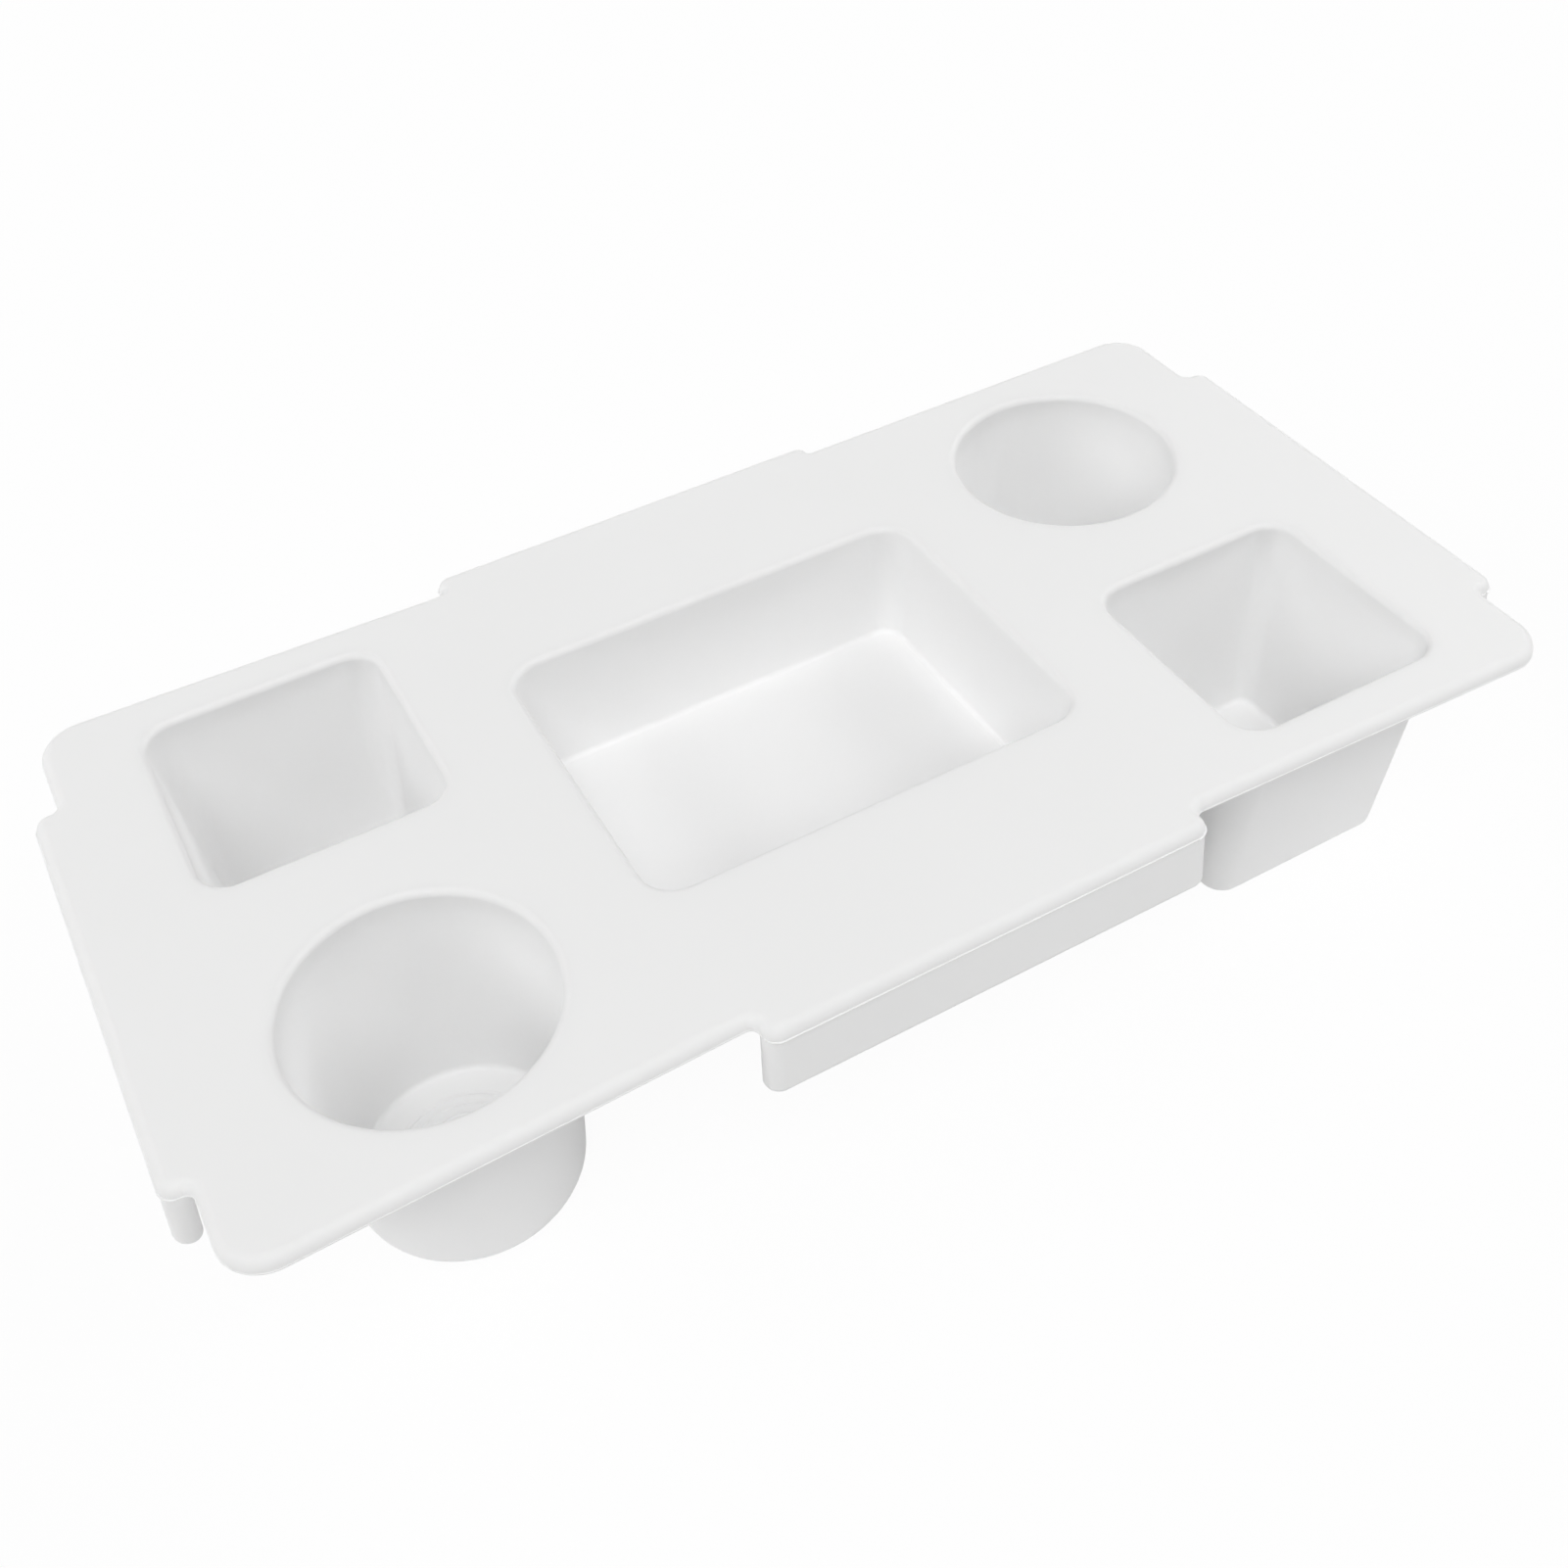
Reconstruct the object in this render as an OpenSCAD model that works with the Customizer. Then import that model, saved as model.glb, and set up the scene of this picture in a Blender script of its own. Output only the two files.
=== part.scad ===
// Lap and sofa tray with two round drink wells, two square bins and a shallow snack pocket.
// One soft white moulding, drawn as the regions that it is made of. The regions meet face to face.
// Origin: centre of the tray, on the plane that the four deep wells stand on. X runs along the tray.

/* [Deck] */
// Length of the deck between its plain short edges
deck_length = 468; // [440:1:560]
// Width of the deck at its corners
deck_width = 241; // [230:1:300]
// Thickness of the deck
deck_thickness = 4.6; // [4.2:0.1:8]
// Height of the deck's top above the surface that the tray stands on
overall_height = 88; // [70:1:120]
// Plan radius of the four deck corners
corner_radius = 15; // [8:0.5:30]
// Rounding along the top edge of the deck
edge_radius = 4; // [1:0.1:4]
// How far each long side draws in between the corners and its tab
waist_in = 4.2; // [0:0.1:8]

/* [Tabs] */
// Deck's long edge between each corner and the tab on it
side_tab_margin = 154.4; // [125:0.1:175]
// How far the front tab sits towards +X, and the back one towards -X
side_tab_shift = 3.4; // [0:0.1:6]
// Reach of the long sides' tabs beyond the edge beside them
side_tab_reach = 8.9; // [8.5:0.1:14]
// Reach of the back tab beyond the straighter edge on its right
back_step_reach = 5.3; // [5.2:0.1:8.4]
// Plan radius of the hollow on the right of the back tab
back_step_radius = 1; // [0.5:0.1:1]
// Deck's short edge between each corner and the tab on it
end_tab_margin = 38; // [26:0.1:60]
// How far both tabs on the short sides sit towards the front
end_tab_shift = 2.7; // [0:0.1:6]
// Reach of the short sides' tabs beyond the edge beside them
end_tab_reach = 8.6; // [8.5:0.1:14]
// Plan radius of the tabs' outer corners
tab_outer_radius = 5.2; // [4.2:0.1:5.2]
// Plan radius of the hollow at the other ends of the tabs
tab_inner_radius = 3.2; // [1:0.1:3.3]

/* [Skirts] */
// Drop of the skirts below the deck's top
skirt_drop = 26.5; // [20:0.5:45]
// Thickness of a skirt
skirt_thickness = 8.4; // [8.3:0.1:10]
// Outward lean of a skirt's faces in degrees
skirt_flare = 7; // [0:0.5:9]
// Outward lean of a skirt's two ends in degrees
skirt_end_flare = 2.5; // [0:0.5:5]
// Lean of the long skirts along their tabs in degrees, the front one towards -X
skirt_sway = 2.5; // [0:0.5:5]
// Rounding along the lower edges of a skirt
skirt_edge_radius = 3; // [0.5:0.1:3.1]

/* [Wells] */
// Wall thickness of the wells where they leave the deck
well_wall = 3.2; // [2.6:0.1:4.5]
// Floor thickness of the wells
well_floor = 5; // [2.5:0.1:6]
// Rounding where the deck's top turns down into a well
lip_radius = 2.6; // [1:0.1:2.6]
// Rounding inside, where a wall meets the floor
floor_radius = 2.2; // [1:0.1:5]
// Rounding under the deck, where it meets a well
root_radius = 2; // [0.5:0.1:4]

/* [Round cups] */
// Deck between a cup's mouth and the short edge beside it
cup_end_margin = 33.2; // [24:0.1:45]
// Deck between a cup's mouth and the long edge beside it
cup_side_margin = 18.1; // [14:0.1:26]
// Deck between a cup's mouth and the middle line of the tray
cup_middle_gap = 17.4; // [8:0.1:24]
// Slope of a cup's wall in degrees from upright
cup_draft = 5.3; // [1:0.1:7]
// Rounding outside, along the bottom of a cup
cup_base_radius = 6.9; // [1:0.1:8]
// Number of raised anti-slip rings on a cup's floor
ring_count = 7; // [1:1:8]
// How far inside the mouth the outermost ring lies
ring_margin = 18; // [12:0.1:26]
// Width of a ring at its foot
ring_width = 1.6; // [0.8:0.1:2.2]
// Height of a ring
ring_height = 0.3; // [0.1:0.05:0.4]

/* [Square bins] */
// Inside length of a bin at its mouth, along X
bin_length = 84; // [70:0.5:100]
// Deck between a bin's mouth and the short edge beside it
bin_end_margin = 32.6; // [24:0.1:45]
// Deck between a bin's mouth and the long edge beside it
bin_side_margin = 20; // [14:0.1:26]
// Deck between a bin's mouth and the middle line of the tray
bin_middle_gap = 15.7; // [8:0.1:24]
// Plan radius of a bin's corners at its mouth
bin_corner = 11; // [7:0.5:20]
// Slope of a bin's walls in degrees from upright
bin_draft = 4.5; // [1:0.1:6]
// Rounding outside, along the bottom of a bin
bin_base_radius = 1.8; // [1:0.1:4]

/* [Snack pocket] */
// Deck between the pocket's mouth and a cup's
pocket_rib = 35.3; // [12:0.1:50]
// Deck between the pocket's mouth and a line along the deck's long edge
pocket_side_margin = 59.9; // [35:0.1:75]
// Plan radius of the pocket's corners at its mouth
pocket_corner = 12; // [7:0.5:25]
// Slope of the pocket's walls in degrees from upright
pocket_draft = 5.7; // [1:0.1:7]
// Rounding outside, along the bottom of the pocket
pocket_base_radius = 3; // [1:0.1:5]
// Depth of the pocket from the deck's top to its floor
pocket_depth = 47; // [20:1:60]

/* [Hidden] */

tray_white = [0.92, 0.92, 0.915];

// Steps round a quarter circle in plan, and up a rounded edge
plan_steps = 8;
edge_steps = 5;
// Facets round a revolved cup
cup_facets = 96;
// Overrun of the bodies that trim the deck
overrun = 1;
// Least straight length between a tab's rounded end and the hollow beside it
end_straight = 0.1;
// Share by which the corner radius of a bin or the pocket shrinks as its outline does
corner_share = 0.8;

top_z = overall_height;
underside_z = top_z - deck_thickness;
half_length = deck_length / 2;
half_width = deck_width / 2;
side_tab_y = half_width - waist_in + side_tab_reach;
end_tab_x = half_length + end_tab_reach;
side_tab_length = deck_length - 2 * side_tab_margin;
end_tab_length = deck_width - 2 * end_tab_margin;

// Each well fills what its margins leave of the deck
cup_diameter = half_width - cup_side_margin - cup_middle_gap;
ring_radius = cup_diameter / 2 - ring_margin;
cup_x = half_length - cup_end_margin - cup_diameter / 2;
cup_y = cup_middle_gap + cup_diameter / 2;
bin_width = half_width - bin_side_margin - bin_middle_gap;
bin_x = half_length - bin_end_margin - bin_length / 2;
bin_y = bin_middle_gap + bin_width / 2;
pocket_length = 2 * (half_length - cup_end_margin - cup_diameter - pocket_rib);
pocket_width = deck_width - 2 * pocket_side_margin;

// Points of an arc in plan, from one angle to another
function arc(centre, radius, from, to, steps = plan_steps) =
    [for (i = [0:steps]) let (a = from + (to - from) * i / steps)
        [centre[0] + radius * cos(a), centre[1] + radius * sin(a)]];

// The points of a quarter moved to another corner of the tray, still counter-clockwise
function turned(points) = [for (p = points) [-p[0], -p[1]]];
function mirrored(points) = [for (i = [len(points) - 1:-1:0]) [-points[i][0], points[i][1]]];

// One quarter of the deck's outline in plan, drawn in by an inset.
// It runs from the tab on the right over the back corner to the tab at the back.
function deck_quarter(inset, side_shift, end_shift, reach = side_tab_reach, hollow = tab_inner_radius) =
    let (side_end = side_tab_length / 2 + side_shift, tab_end = end_tab_length / 2 + end_shift,
         waist_y = side_tab_y - reach,
         tip = min(tab_outer_radius, reach - hollow - end_straight),
         lean = atan((half_width - waist_y) / (half_length - side_end)))
    concat(
        arc([end_tab_x - tab_outer_radius, tab_end - tab_outer_radius], tab_outer_radius - inset, 0, 90),
        arc([half_length + tab_inner_radius, tab_end + tab_inner_radius], tab_inner_radius + inset, 270, 180),
        arc([half_length - corner_radius, half_width - corner_radius], corner_radius - inset, 0, 90 + lean),
        arc([side_end + hollow, waist_y + hollow], hollow + inset, 270 + lean, 180),
        arc([side_end - tip, side_tab_y - tip], tip - inset, 0, 90));

// The whole outline, counter-clockwise from the tab on the right
function deck_outline(inset) =
    concat(deck_quarter(inset, -side_tab_shift, -end_tab_shift, back_step_reach, back_step_radius),
           mirrored(deck_quarter(inset, side_tab_shift, -end_tab_shift)),
           turned(deck_quarter(inset, -side_tab_shift, end_tab_shift)),
           turned(mirrored(deck_quarter(inset, side_tab_shift, end_tab_shift))));

// A rectangle with rounded corners in plan, counter-clockwise from its right side
function rounded_outline(half_x, half_y, radius) =
    let (x = half_x - radius, y = half_y - radius)
    concat(arc([x, y], radius, 0, 90), arc([-x, y], radius, 90, 180),
           arc([-x, -y], radius, 180, 270), arc([x, -y], radius, 270, 360));

function lift(outline, z) = [for (p = outline) [p[0], p[1], z]];

// Section of a well as [inset, height] pairs, where the inset is measured inwards from its mouth.
// It runs from the outside of the floor, up the wall, over the lip and down to the inside floor.
function well_section(base_z, base_radius, draft) =
    let (draft_slope = tan(draft),
         mouth_z = top_z - lip_radius,
         floor_z = base_z + well_floor,
         outer_at = function (z) (underside_z - z) * draft_slope - well_wall,
         inner_at = function (z) (mouth_z - z) * draft_slope,
         base_centre = [outer_at(base_z + base_radius) + base_radius / cos(draft), base_z + base_radius],
         root_centre = [outer_at(underside_z - root_radius) - root_radius / cos(draft),
                        underside_z - root_radius],
         floor_centre = [inner_at(floor_z + floor_radius) + floor_radius / cos(draft),
                         floor_z + floor_radius])
    concat(
        [for (p = arc([0, 0], base_radius, -90, -180 + draft, edge_steps)) base_centre + p],
        [for (p = arc([0, 0], root_radius, draft, 90, edge_steps)) root_centre + p],
        [[-well_wall, underside_z], [-well_wall, top_z]],
        [for (p = arc([0, 0], lip_radius, 90, 0, edge_steps)) [p[0] - lip_radius, mouth_z + p[1]]],
        [for (p = arc([0, 0], floor_radius, 180 + draft, 270, edge_steps)) floor_centre + p]);

// A closed solid through a stack of outlines that have as many points each
module loft(rings) {
    count = len(rings[0]);
    rows = len(rings);
    points = [for (ring = rings) each ring];
    sides = [for (i = [0:rows - 2], j = [0:count - 1])
        let (a = i * count + j, b = i * count + (j + 1) % count)
        each [[a, a + count, b], [b, a + count, b + count]]];
    bottom = [for (j = [0:count - 1]) j];
    top = [for (j = [count - 1:-1:0]) (rows - 1) * count + j];
    polyhedron(points, concat([bottom], sides, [top]));
}

// Section of the rings on a cup's floor, from the outermost one inwards
function ring_section(floor_z) =
    [for (i = [ring_count:-1:1])
        let (r = ring_radius * i / ring_count, half = ring_width / 2, crest = half - ring_height)
        each [[r + half, floor_z], [r + crest, floor_z + ring_height],
              [r - crest, floor_z + ring_height], [r - half, floor_z]]];

// A round well, revolved from the wells' section
module round_well(diameter, base_z, base_radius, draft) {
    section = well_section(base_z, base_radius, draft);
    outline = [for (p = section) [diameter / 2 - p[0], p[1]]];
    floor_z = base_z + well_floor;
    rotate_extrude($fn = cup_facets)
        polygon(concat([[0, base_z]], outline, ring_section(floor_z), [[0, floor_z]]));
}

// A well with four rounded corners, lofted through the wells' section
module cornered_well(length, width, corner, base_z, base_radius, draft) {
    loft([for (p = well_section(base_z, base_radius, draft))
        lift(rounded_outline(length / 2 - p[0], width / 2 - p[0], corner - p[0] * corner_share), p[1])]);
}

// The opening in the deck that a well with four rounded corners fills
module cornered_opening(length, width, corner) {
    polygon(rounded_outline(length / 2 + well_wall, width / 2 + well_wall,
                            corner + well_wall * corner_share));
}

// All five openings in plan
module openings() {
    for (side = [-1, 1]) {
        translate([side * cup_x, side * cup_y]) circle(r = cup_diameter / 2 + well_wall, $fn = cup_facets);
        translate([side * bin_x, -side * bin_y]) cornered_opening(bin_length, bin_width, bin_corner);
    }
    cornered_opening(pocket_length, pocket_width, pocket_corner);
}

// Deck with its rounded edge and four tabs, trimmed out of a plate that has the openings
module deck() {
    edge_rings = [for (p = arc([0, 0], edge_radius, 0, 90, edge_steps))
        lift(deck_outline(edge_radius - p[0]), top_z - edge_radius + p[1])];
    color(tray_white)
        intersection() {
            loft(concat([lift(deck_outline(0), underside_z - overrun)], edge_rings,
                        [lift(deck_outline(edge_radius), top_z + overrun)]));
            translate([0, 0, underside_z])
                linear_extrude(deck_thickness)
                    difference() {
                        square([2 * (end_tab_x + overrun), 2 * (side_tab_y + overrun)], center = true);
                        openings();
                    }
        }
}

module cup(side) {
    color(tray_white)
        translate([side * cup_x, side * cup_y, 0])
            round_well(cup_diameter, 0, cup_base_radius, cup_draft);
}

module bin(side) {
    color(tray_white)
        translate([side * bin_x, -side * bin_y, 0])
            cornered_well(bin_length, bin_width, bin_corner, 0, bin_base_radius, bin_draft);
}

module snack_pocket() {
    color(tray_white)
        cornered_well(pocket_length, pocket_width, pocket_corner,
                      top_z - pocket_depth - well_floor, pocket_base_radius, pocket_draft);
}

// Outline of a skirt that hangs below a tab on the +X side, at a drop below the deck.
// Both ends are fully rounded: the tab's own radius outside, and what is left of the thickness inside.
function skirt_outline(length, face_x, shift, drop, inset) =
    let (x = face_x + drop * tan(skirt_flare) - inset,
         back_x = x - skirt_thickness + 2 * inset,
         end = length / 2 + drop * tan(skirt_end_flare) - inset,
         outer = tab_outer_radius - inset,
         inner = skirt_thickness - tab_outer_radius - inset)
    concat(arc([x - outer, shift + end - outer], outer, 0, 90),
           arc([back_x + inner, shift + end - inner], inner, 90, 180),
           arc([back_x + inner, shift + inner - end], inner, 180, 270),
           arc([x - outer, shift + outer - end], outer, 270, 360));

// Skirt below one tab, turned to the side that it hangs on. Its shift and sway are along the tab.
module skirt(length, face_x, shift, sway, turn) {
    depth = skirt_drop - deck_thickness;
    rings = [for (p = arc([0, 0], skirt_edge_radius, -90, 0, edge_steps))
        let (drop = depth - skirt_edge_radius - p[1])
        lift(skirt_outline(length, face_x, shift - drop * tan(sway), drop, skirt_edge_radius - p[0]),
             underside_z - drop)];
    color(tray_white)
        rotate([0, 0, turn])
            loft(concat(rings, [lift(skirt_outline(length, face_x, shift, 0, 0), underside_z)]));
}

deck();
cup(-1);  // front_left_cup
cup(1);  // back_right_cup
bin(-1);  // back_left_bin
bin(1);  // front_right_bin
snack_pocket();
skirt(side_tab_length, side_tab_y, side_tab_shift, skirt_sway, -90);  // front_skirt
skirt(side_tab_length, side_tab_y, side_tab_shift, skirt_sway, 90);  // back_skirt
skirt(end_tab_length, end_tab_x, end_tab_shift, 0, 180);  // left_skirt
skirt(end_tab_length, end_tab_x, -end_tab_shift, 0, 0);  // right_skirt
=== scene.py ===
import math

import bmesh
import bpy
from mathutils import Matrix, Vector


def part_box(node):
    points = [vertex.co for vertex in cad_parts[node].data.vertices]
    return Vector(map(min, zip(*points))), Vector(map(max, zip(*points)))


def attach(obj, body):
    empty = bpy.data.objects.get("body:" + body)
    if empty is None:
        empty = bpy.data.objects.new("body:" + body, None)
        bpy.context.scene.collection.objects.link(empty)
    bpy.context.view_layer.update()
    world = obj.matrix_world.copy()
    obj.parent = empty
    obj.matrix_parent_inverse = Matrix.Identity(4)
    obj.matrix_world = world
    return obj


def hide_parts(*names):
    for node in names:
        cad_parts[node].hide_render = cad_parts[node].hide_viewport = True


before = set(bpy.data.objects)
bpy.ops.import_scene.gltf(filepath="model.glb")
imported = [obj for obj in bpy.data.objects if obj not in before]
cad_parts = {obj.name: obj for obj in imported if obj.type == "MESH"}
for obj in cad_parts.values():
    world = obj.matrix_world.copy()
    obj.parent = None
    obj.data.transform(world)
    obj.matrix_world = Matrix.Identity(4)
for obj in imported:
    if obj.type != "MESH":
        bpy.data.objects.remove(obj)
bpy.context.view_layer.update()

mm = 0.001
hair = 0.01 * mm                 # less than this apart counts as level
deckLow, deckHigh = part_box("deck")
undersideZ = deckLow.z
topZ = deckHigh.z

# What the whole moulding shares
moulding = {
    "wall": 3.2 * mm,
    "floor": 5 * mm,
    "lipRadius": 2.6 * mm,
    "floorRadius": 2.2 * mm,
    "rootRadius": 2 * mm,
    "rootTip": 0.05 * mm,        # thickness that the fillet under the deck runs out to
    "cornerShare": 0.8,          # how fast a plan corner tightens as its outline shrinks
    "sharpFrom": math.radians(40),
    "mergeWithin": 0.001 * mm,
    "circleSides": 144,
    "lift": 5 * mm,              # how far a loop is moved out of its neighbour's plane for bridging
}
mouthZ = topZ - moulding["lipRadius"]


def keyLoop(bm, corners, z, segments=10):
    # A closed loop of edges through (x, y, radius) corners, each rounded by a vertex bevel
    known = set(bm.edges)
    verts = [bm.verts.new((x, y, z)) for x, y, radius in corners]
    bm.faces.new(verts)
    for index, (x, y, radius) in enumerate(corners):
        before = Vector(corners[index - 1][:2]) - Vector((x, y))
        after = Vector(corners[(index + 1) % len(corners)][:2]) - Vector((x, y))
        tangent = radius / math.tan(before.angle(after) / 2)
        bmesh.ops.bevel(bm, geom=[verts[index]], offset=tangent, offset_type="ABSOLUTE",
                        segments=segments, profile=0.5, affect="VERTICES", material=-1)
    loop = [edge for edge in bm.edges if edge not in known]
    filling = list({face for edge in loop for face in edge.link_faces})
    bmesh.ops.delete(bm, geom=filling, context="FACES_ONLY")
    return loop


def rectangleLoop(bm, centre, halfX, halfY, radius, z):
    corners = [(centre.x + sx * halfX, centre.y + sy * halfY, radius)
               for sx, sy in ((1, 1), (-1, 1), (-1, -1), (1, -1))]
    return keyLoop(bm, corners, z)


def circleLoop(bm, centre, radius, z):
    made = bmesh.ops.create_circle(bm, cap_ends=False, segments=moulding["circleSides"], radius=radius,
                                   matrix=Matrix.Translation((centre.x, centre.y, z)))
    return list({edge for vert in made["verts"] for edge in vert.link_edges})


def bridge(bm, first, second):
    # Loops in one plane can twist, so the second is lifted out of it for the bridging
    verts = list({vert for edge in second for vert in edge.verts})
    apart = abs(verts[0].co.z - first[0].verts[0].co.z)
    lift = Vector((0, 0, moulding["lift"] if apart < moulding["lift"] / 10 else 0))
    bmesh.ops.translate(bm, vec=lift, verts=verts)
    faces = bmesh.ops.bridge_loops(bm, edges=first + second)["faces"]
    bmesh.ops.translate(bm, vec=-lift, verts=verts)
    return faces


def cap(bm, loop):
    return bmesh.ops.contextual_create(bm, geom=loop)["faces"][0]


def roundEdge(bm, loop, radius, openAngle=math.pi / 2, segments=7):
    # openAngle is the angle between the two faces that the rounding runs between
    bmesh.ops.bevel(bm, geom=loop, offset=radius / math.tan(openAngle / 2), offset_type="OFFSET",
                    segments=segments, profile=0.5, affect="EDGES", material=-1,
                    clamp_overlap=False)


def finishPiece(bm, name, node, material):
    bmesh.ops.remove_doubles(bm, verts=bm.verts, dist=moulding["mergeWithin"])
    bmesh.ops.recalc_face_normals(bm, faces=bm.faces)
    for face in bm.faces:
        face.smooth = True
    for edge in bm.edges:
        edge.smooth = edge.calc_face_angle(0) < moulding["sharpFrom"]
    mesh = bpy.data.meshes.new(name)
    bm.to_mesh(mesh)
    bm.free()
    piece = bpy.data.objects.new(name, mesh)
    bpy.context.scene.collection.objects.link(piece)
    mesh.materials.append(material)
    weighted = piece.modifiers.new("EvenShading", "WEIGHTED_NORMAL")
    weighted.keep_sharp = True
    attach(piece, "root")
    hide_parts(node)
    print(name, "has", len(mesh.polygons), "faces")
    return piece


# Materials

satinWhite = {
    "colour": (0.925, 0.925, 0.922),
    "shade": 0.985,              # the darkest share of the colour in the slow cloudiness
    "cloudFrom": 0.3,            # the noise values between which the tone changes
    "cloudTo": 0.7,
    "cloudScale": 9,             # per metre
    "grainScale": 1700,
    "grainDepth": 0.02 * mm,
    "grainStrength": 0.6,
    "roughnessFrom": 0.5,
    "roughnessTo": 0.6,
    "refraction": 1.46,
    "glowWeight": 0.06,          # share of the light that goes through the surface
    "glowScale": 2 * mm,
    "glowRadius": (1.0, 0.95, 0.9),
    "paintedFadeDepth": 9 * mm,         # over which a well's painted tone takes over from the deck's colour: painted light in the cups and bins, painted shade in the pocket
}


def mouldedWhite(name, values, paintedDepthTone=None):
    material = bpy.data.materials.new(name)
    material.use_nodes = True
    nodes = material.node_tree.nodes
    links = material.node_tree.links
    shader = nodes["Principled BSDF"]
    shader.inputs["IOR"].default_value = values["refraction"]
    shader.inputs["Subsurface Weight"].default_value = values["glowWeight"]
    shader.inputs["Subsurface Radius"].default_value = values["glowRadius"]
    shader.inputs["Subsurface Scale"].default_value = values["glowScale"]
    place = nodes.new("ShaderNodeTexCoord")
    cloud = nodes.new("ShaderNodeTexNoise")
    cloud.inputs["Scale"].default_value = values["cloudScale"]
    cloud.inputs["Detail"].default_value = 3
    links.new(place.outputs["Object"], cloud.inputs["Vector"])
    tone = nodes.new("ShaderNodeValToRGB")
    dark, light = tone.color_ramp.elements
    dark.position = values["cloudFrom"]
    light.position = values["cloudTo"]
    dark.color = [channel * values["shade"] for channel in values["colour"]] + [1]
    light.color = [*values["colour"], 1]
    links.new(cloud.outputs["Fac"], tone.inputs["Fac"])
    colour = tone.outputs["Color"]
    # Painted light and shade: below the top the colour fades into the given tone, which stands in for
    # light and shade down a well, not a change in the plastic
    if paintedDepthTone:
        split = nodes.new("ShaderNodeSeparateXYZ")
        links.new(place.outputs["Object"], split.inputs["Vector"])
        depth = nodes.new("ShaderNodeMapRange")
        depth.inputs["From Min"].default_value = topZ
        depth.inputs["From Max"].default_value = topZ - values["paintedFadeDepth"]
        links.new(split.outputs["Z"], depth.inputs["Value"])
        paintedFade = nodes.new("ShaderNodeMix")
        paintedFade.data_type = "RGBA"
        factor, near, paintedDeepSocket = [socket for socket in paintedFade.inputs if socket.enabled]
        paintedDeepSocket.default_value = [*paintedDepthTone, 1]
        links.new(depth.outputs["Result"], factor)
        links.new(colour, near)
        colour = next(socket for socket in paintedFade.outputs if socket.enabled)
    links.new(colour, shader.inputs["Base Color"])
    grain = nodes.new("ShaderNodeTexNoise")
    grain.inputs["Scale"].default_value = values["grainScale"]
    grain.inputs["Detail"].default_value = 2
    links.new(place.outputs["Object"], grain.inputs["Vector"])
    satin = nodes.new("ShaderNodeMapRange")
    satin.inputs["To Min"].default_value = values["roughnessFrom"]
    satin.inputs["To Max"].default_value = values["roughnessTo"]
    links.new(grain.outputs["Fac"], satin.inputs["Value"])
    links.new(satin.outputs["Result"], shader.inputs["Roughness"])
    bump = nodes.new("ShaderNodeBump")
    bump.inputs["Strength"].default_value = values["grainStrength"]
    bump.inputs["Distance"].default_value = values["grainDepth"]
    links.new(grain.outputs["Fac"], bump.inputs["Height"])
    links.new(bump.outputs["Normal"], shader.inputs["Normal"])
    return material


deckWhite = mouldedWhite("deckWhite", satinWhite)
# Painted light: the cups' and bins' colour lightens with depth below the top
wellWhitePaintedLight = mouldedWhite("wellWhitePaintedLight", satinWhite, (0.97, 0.97, 0.97))
# Painted shade: the pocket's colour darkens with depth below the top
pocketWhitePaintedShade = mouldedWhite("pocketWhitePaintedShade", satinWhite, (0.91, 0.91, 0.91))
skirtWhite = mouldedWhite("skirtWhite", satinWhite)
print("materials are made")

# Wells: five closed shells with a lip, drafted walls and a filleted floor

cupWell = {
    "draft": math.radians(5.3),
    "baseRadius": 6.9 * mm,
    "ringCount": 7,
    "outermostRing": 24.5 * mm,
    "ringWidth": 1.6 * mm,
    "ringHeight": 0.3 * mm,
}
binWell = {
    "draft": math.radians(4.5),
    "baseRadius": 1.8 * mm,
    "corner": 11 * mm,
}
pocketWell = {
    "draft": math.radians(5.7),
    "baseRadius": 3 * mm,
    "corner": 12 * mm,
}


def flangeReach(well):
    # From a well's mouth to the outer end of the fillet under the deck
    radius = moulding["rootRadius"]
    return moulding["wall"] + radius / math.cos(well["draft"]) - radius * math.tan(well["draft"])


def wellFrom(node, well, loopAt):
    # loopAt(bm, inset, z) makes the well's outline at a height, inset from its mouth
    low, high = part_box(node)
    floorZ = low.z + moulding["floor"]
    wall = moulding["wall"]
    slope = math.tan(well["draft"])
    wide = math.pi / 2 + well["draft"]
    narrow = math.pi / 2 - well["draft"]
    tipZ = undersideZ - moulding["rootTip"]
    tipReach = flangeReach(well) + moulding["rootTip"]
    bm = bmesh.new()
    base = loopAt(bm, (undersideZ - low.z) * slope - wall, low.z)
    root = loopAt(bm, (undersideZ - tipZ) * slope - wall, tipZ)
    tip = loopAt(bm, -tipReach, tipZ)
    shelf = loopAt(bm, -tipReach, undersideZ)
    collarFoot = loopAt(bm, -wall, undersideZ)
    collarTop = loopAt(bm, -wall, topZ)
    lip = loopAt(bm, (mouthZ - topZ) * slope, topZ)
    floorEdge = loopAt(bm, (mouthZ - floorZ) * slope, floorZ)
    loops = [base, root, tip, shelf, collarFoot, collarTop, lip, floorEdge]
    for first, second in zip(loops, loops[1:]):
        bridge(bm, first, second)
    cap(bm, base)
    cap(bm, floorEdge)
    roundEdge(bm, lip, moulding["lipRadius"], wide, segments=8)
    roundEdge(bm, root, moulding["rootRadius"], narrow, segments=5)
    roundEdge(bm, base, well["baseRadius"], wide, segments=8)
    roundEdge(bm, floorEdge, moulding["floorRadius"], wide, segments=6)
    return bm


def innerFloor(bm, floorZ):
    # The biggest flat face at the floor's height
    level = [face for face in bm.faces if all(abs(vert.co.z - floorZ) < hair for vert in face.verts)]
    return max(level, key=lambda face: face.calc_area())


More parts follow.
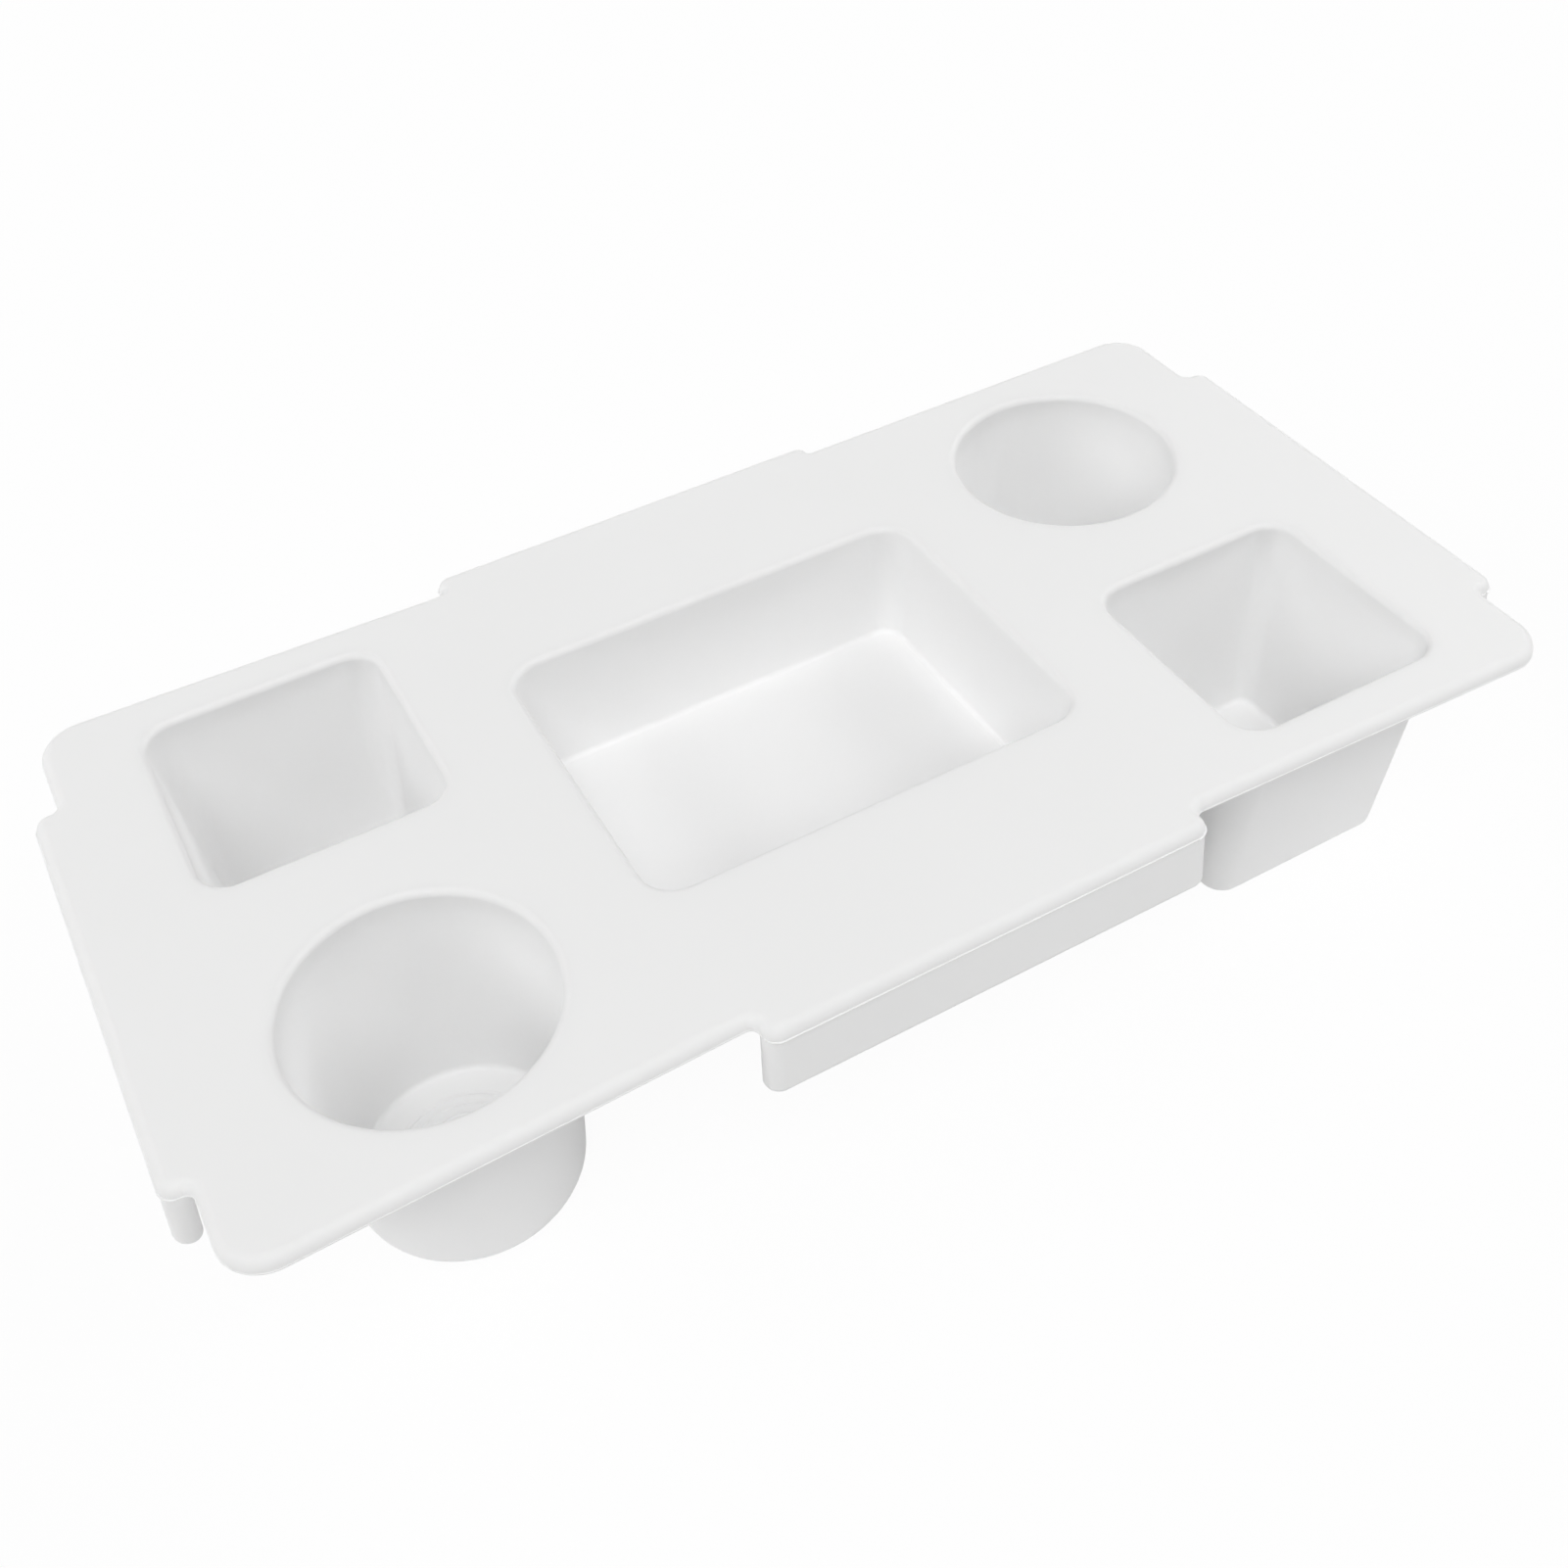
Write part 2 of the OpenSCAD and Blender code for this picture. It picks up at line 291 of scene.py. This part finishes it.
def cup(name, node):
    low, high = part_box(node)
    centre = (low + high) / 2
    mouthRadius = (high.x - low.x) / 2 - flangeReach(cupWell)
    bm = wellFrom(node, cupWell, lambda b, inset, z: circleLoop(b, centre, mouthRadius - inset, z))
    floorZ = low.z + moulding["floor"]
    bm.normal_update()
    disc = innerFloor(bm, floorZ)
    if disc.normal.z < 0:
        disc.normal_flip()
    floorRadius = max((vert.co - Vector((centre.x, centre.y, floorZ))).length for vert in disc.verts)
    rise = cupWell["ringHeight"]
    reached = floorRadius
    for index in range(cupWell["ringCount"], 0, -1):
        ring = cupWell["outermostRing"] * index / cupWell["ringCount"]
        outer = ring + cupWell["ringWidth"] / 2
        crest = cupWell["ringWidth"] / 2 - rise
        bmesh.ops.inset_individual(bm, faces=[disc], thickness=reached - outer, depth=0)
        bmesh.ops.inset_individual(bm, faces=[disc], thickness=rise, depth=rise)
        bmesh.ops.inset_individual(bm, faces=[disc], thickness=2 * crest, depth=0)
        bmesh.ops.inset_individual(bm, faces=[disc], thickness=rise, depth=-rise)
        reached = outer - cupWell["ringWidth"]
    return finishPiece(bm, name, node, wellWhitePaintedLight)


def corneredWell(name, node, well, material):
    low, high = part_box(node)
    centre = (low + high) / 2
    halfX = (high.x - low.x) / 2 - flangeReach(well)
    halfY = (high.y - low.y) / 2 - flangeReach(well)

    def loopAt(bm, inset, z):
        return rectangleLoop(bm, centre, halfX - inset, halfY - inset,
                             well["corner"] - inset * moulding["cornerShare"], z)
    bm = wellFrom(node, well, loopAt)
    return finishPiece(bm, name, node, material)


cup("cup_front_left", "front_left_cup")
cup("cup_back_right", "back_right_cup")
corneredWell("bin_back_left", "back_left_bin", binWell, wellWhitePaintedLight)
corneredWell("bin_front_right", "front_right_bin", binWell, wellWhitePaintedLight)
corneredWell("pocket_middle", "snack_pocket", pocketWell, pocketWhitePaintedShade)
print("wells are made")

# Deck: its outline drawn in at the waist, four tabs, a rounded edge and five openings

deck = {
    "sideTabLength": 159.2 * mm,
    "sideTabShift": 3.4 * mm,    # the front tab to +X, the back one to -X
    "sideTabReach": 8.9 * mm,
    "endTabLength": 165 * mm,
    "endTabShift": -2.7 * mm,    # both end tabs to the front
    "endTabReach": 8.6 * mm,
    "tabOuterRadius": 5.2 * mm,
    "tabInnerRadius": 3.2 * mm,
    "stepReach": 5.3 * mm,       # of the back tab beyond the straighter edge on its right
    "stepOuterRadius": 4.2 * mm,
    "stepInnerRadius": 1 * mm,
    "cornerRadius": 15 * mm,
    "waist": 4.2 * mm,
    "edgeRadius": 4 * mm,
    "beadInset": 0.08 * mm,
    "beadProud": 0.2 * mm,
    "tabBeadInset": 0.04 * mm,
    "tabBeadProud": 0.3 * mm,    # further out, round the tabs
    "tabRim": 4 * mm,            # how far in from a tab's face its bead reaches
}
edgeX = deckHigh.x - deck["endTabReach"]
edgeY = deckHigh.y - deck["sideTabReach"] + deck["waist"]


def deckCorners():
    # Counter-clockwise round the tray, five corners in each quarter
    outer = deck["tabOuterRadius"]
    inner = deck["tabInnerRadius"]
    corners = []
    for sx, sy in ((1, 1), (-1, 1), (-1, -1), (1, -1)):
        sideEnd = sx * deck["sideTabLength"] / 2 - sy * deck["sideTabShift"]
        tabEnd = sy * deck["endTabLength"] / 2 + deck["endTabShift"]
        reach, hollow, tip = deck["sideTabReach"], inner, outer
        if sx == sy == 1:
            reach, hollow, tip = deck["stepReach"], deck["stepInnerRadius"], deck["stepOuterRadius"]
        quarter = [
            (sx * deckHigh.x, tabEnd, outer),
            (sx * edgeX, tabEnd, inner),
            (sx * edgeX, sy * edgeY, deck["cornerRadius"]),
            (sideEnd, sy * (deckHigh.y - reach), hollow),
            (sideEnd, sy * deckHigh.y, tip),
        ]
        corners += quarter if sx == sy else quarter[::-1]
    return corners


def collarLoops(bm, z):
    loops = []
    for node in ("front_left_cup", "back_right_cup"):
        low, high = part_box(node)
        reach = moulding["wall"] - flangeReach(cupWell)
        loops.append(circleLoop(bm, (low + high) / 2, (high.x - low.x) / 2 + reach, z))
    corneredWells = {"back_left_bin": binWell, "front_right_bin": binWell, "snack_pocket": pocketWell}
    for node, well in corneredWells.items():
        low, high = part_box(node)
        reach = moulding["wall"] - flangeReach(well)
        half = (high - low) / 2
        corner = well["corner"] + moulding["wall"] * moulding["cornerShare"]
        loops.append(rectangleLoop(bm, (low + high) / 2, half.x + reach, half.y + reach, corner, z))
    return loops


def deckMoulding():
    bm = bmesh.new()
    bottom = keyLoop(bm, deckCorners(), undersideZ, segments=12)
    top = keyLoop(bm, deckCorners(), topZ, segments=12)
    bridge(bm, bottom, top)
    cap(bm, top)
    roundEdge(bm, top, deck["edgeRadius"], segments=9)
    lid = max(bm.faces, key=lambda face: face.calc_area())
    rim = list(lid.edges)
    bmesh.ops.delete(bm, geom=[lid], context="FACES_ONLY")
    band = [face for face in bm.faces if min(vert.co.z for vert in face.verts) < undersideZ + hair]
    bmesh.ops.recalc_face_normals(bm, faces=bm.faces)
    outwards = sum(face.normal.dot(face.calc_center_median().xy.to_3d()) for face in bm.faces)
    if outwards < 0:
        bmesh.ops.reverse_faces(bm, faces=bm.faces)
    bmesh.ops.inset_region(bm, faces=band, thickness=deck["beadInset"], depth=deck["beadProud"],
                           use_boundary=True, use_even_offset=True)
    onTabs = [face for face in band
              if abs(face.calc_center_median().x) > deckHigh.x - deck["tabRim"]
              or abs(face.calc_center_median().y) > deckHigh.y - deck["tabRim"]]
    bmesh.ops.inset_region(bm, faces=onTabs, thickness=deck["tabBeadInset"], depth=deck["tabBeadProud"],
                           use_boundary=True, use_even_offset=True)
    above = collarLoops(bm, topZ)
    below = collarLoops(bm, undersideZ)
    for first, second in zip(below, above):
        bridge(bm, first, second)
    topEdges = rim + [edge for loop in above for edge in loop]
    bottomEdges = [edge for edge in bm.edges
                   if edge.is_boundary and all(vert.co.z < undersideZ + hair for vert in edge.verts)]
    bmesh.ops.triangle_fill(bm, use_beauty=True, use_dissolve=False, edges=topEdges)
    bmesh.ops.triangle_fill(bm, use_beauty=True, use_dissolve=False, edges=bottomEdges)
    return finishPiece(bm, "deck_top", "deck", deckWhite)


deckMoulding()
print("deck is made")

# Skirts: bars that hang below the tabs and lean outwards

skirt = {
    "thickness": 8.4 * mm,
    "innerRadius": 3.1 * mm,
    "flare": math.radians(6.95), # a trace under 7, which keeps the finer curves inside the CAD's box
    "endFlare": math.radians(2.5),
    "sway": math.radians(2.5),   # along the long tabs, the front skirt towards -X
    "edgeRadius": 3 * mm,
}


def skirtMoulding(name, node, faceX, length, shift, sway, turn):
    low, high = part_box(node)
    drop = undersideZ - low.z
    bm = bmesh.new()

    def outlineAt(depth):
        front = faceX + depth * math.tan(skirt["flare"])
        back = front - skirt["thickness"]
        end = length / 2 + depth * math.tan(skirt["endFlare"])
        middle = shift - depth * math.tan(sway)
        inner = skirt["innerRadius"]
        outer = deck["tabOuterRadius"]
        corners = [(front, middle + end, outer), (back, middle + end, inner),
                   (back, middle - end, inner), (front, middle - end, outer)]
        return keyLoop(bm, corners, undersideZ - depth, segments=10)
    top = outlineAt(0)
    foot = outlineAt(drop)
    bridge(bm, top, foot)
    cap(bm, top)
    cap(bm, foot)
    roundEdge(bm, foot, skirt["edgeRadius"], segments=8)
    bmesh.ops.rotate(bm, cent=(0, 0, 0), verts=bm.verts,
                     matrix=Matrix.Rotation(math.radians(turn), 3, "Z"))
    return finishPiece(bm, name, node, skirtWhite)


longTab = (deckHigh.y, deck["sideTabLength"], deck["sideTabShift"], skirt["sway"])
shortTab = (deckHigh.x, deck["endTabLength"])
skirtMoulding("skirt_front", "front_skirt", *longTab, -90)
skirtMoulding("skirt_back", "back_skirt", *longTab, 90)
skirtMoulding("skirt_left", "left_skirt", *shortTab, -deck["endTabShift"], 0, 180)
skirtMoulding("skirt_right", "right_skirt", *shortTab, deck["endTabShift"], 0, 0)
print("skirts are made")

# Floor, light and camera

studio = {
    "floorSize": 6,
    "floorAlbedo": 0.9,
    "floorGlow": 0.95,           # share of plain white that the camera sees on the floor
    "lampSpread": math.radians(30),
    "lampDistance": 2,
    "lamps": {                   # degrees round from the front, degrees up, share of plain white
        "front": (-26, 50, 0.228),
        "overhead": (-26, 70, 0.215),
        "left": (-70, 30, 0.15),
        "backLeft": (-110, 30, 0.194),
        "backLow": (-150, 12, 0.167),
        "backRight": (110, 30, 0.24),
        "right": (60, 30, 0.125),
        "rightHigh": (60, 50, 0.155),
    },
}

photo = {
    "size": 1601,                # pixels
    "focalLength": 1743.47,      # pixels
    "azimuth": math.radians(-26.04),
    "elevation": math.radians(45.72),
    "roll": math.radians(-4.25),
    "aim": Vector((-23.21 * mm, -38.74 * mm, topZ)),
    "distance": 556.61 * mm,
    "clipStart": 10 * mm,
    "clipEnd": 50,
}


def whiteRays(nodes, links):
    # 1 for what the camera, a gloss or a clear material sees, 0 for what lights the object
    path = nodes.new("ShaderNodeLightPath")
    found = path.outputs["Is Camera Ray"]
    for ray in ("Is Glossy Ray", "Is Transmission Ray"):
        both = nodes.new("ShaderNodeMath")
        both.operation = "MAXIMUM"
        links.new(found, both.inputs[0])
        links.new(path.outputs[ray], both.inputs[1])
        found = both.outputs[0]
    return found


def makeFloor():
    bm = bmesh.new()
    bmesh.ops.create_grid(bm, x_segments=1, y_segments=1, size=studio["floorSize"] / 2)
    mesh = bpy.data.meshes.new("floor")
    bm.to_mesh(mesh)
    bm.free()
    floor = bpy.data.objects.new("floor", mesh)
    bpy.context.scene.collection.objects.link(floor)
    material = bpy.data.materials.new("paleFloor")
    material.use_nodes = True
    nodes = material.node_tree.nodes
    links = material.node_tree.links
    nodes.clear()
    diffuse = nodes.new("ShaderNodeBsdfDiffuse")
    diffuse.inputs["Color"].default_value = (studio["floorAlbedo"],) * 3 + (1,)
    glow = nodes.new("ShaderNodeEmission")
    glow.inputs["Strength"].default_value = 1
    share = nodes.new("ShaderNodeMath")
    share.operation = "MULTIPLY"
    share.inputs[1].default_value = studio["floorGlow"]
    links.new(whiteRays(nodes, links), share.inputs[0])
    mix = nodes.new("ShaderNodeMixShader")
    links.new(share.outputs[0], mix.inputs["Fac"])
    links.new(diffuse.outputs[0], mix.inputs[1])
    links.new(glow.outputs[0], mix.inputs[2])
    output = nodes.new("ShaderNodeOutputMaterial")
    links.new(mix.outputs[0], output.inputs["Surface"])
    mesh.materials.append(material)


def makeWorld():
    world = bpy.data.worlds.new("paleStudio")
    bpy.context.scene.world = world
    world.use_nodes = True
    nodes = world.node_tree.nodes
    links = world.node_tree.links
    nodes.clear()
    white = nodes.new("ShaderNodeBackground")
    white.inputs["Color"].default_value = (1, 1, 1, 1)
    links.new(whiteRays(nodes, links), white.inputs["Strength"])
    output = nodes.new("ShaderNodeOutputWorld")
    links.new(white.outputs[0], output.inputs["Surface"])


def makeLamps():
    for name, (azimuth, elevation, share) in studio["lamps"].items():
        light = bpy.data.lights.new(name, "SUN")
        light.angle = studio["lampSpread"]
        light.energy = math.pi * share
        lamp = bpy.data.objects.new(name, light)
        bpy.context.scene.collection.objects.link(lamp)
        turn = (Matrix.Rotation(math.radians(azimuth), 4, "Z")
                @ Matrix.Rotation(math.radians(90 - elevation), 4, "X"))
        lamp.matrix_world = turn @ Matrix.Translation((0, 0, studio["lampDistance"]))


def makeCamera():
    lens = bpy.data.cameras.new("camera")
    lens.sensor_fit = "HORIZONTAL"
    lens.lens = lens.sensor_width * photo["focalLength"] / photo["size"]
    lens.clip_start = photo["clipStart"]
    lens.clip_end = photo["clipEnd"]
    camera = bpy.data.objects.new("camera", lens)
    bpy.context.scene.collection.objects.link(camera)
    turn = (Matrix.Rotation(photo["azimuth"], 4, "Z")
            @ Matrix.Rotation(math.pi / 2 - photo["elevation"], 4, "X")
            @ Matrix.Rotation(photo["roll"], 4, "Z"))
    back = turn.to_3x3() @ Vector((0, 0, 1))
    camera.matrix_world = Matrix.Translation(photo["aim"] + photo["distance"] * back) @ turn
    bpy.context.scene.camera = camera


makeFloor()
makeWorld()
makeLamps()
makeCamera()
bpy.context.scene.view_settings.view_transform = "Standard"
print("stage is set")
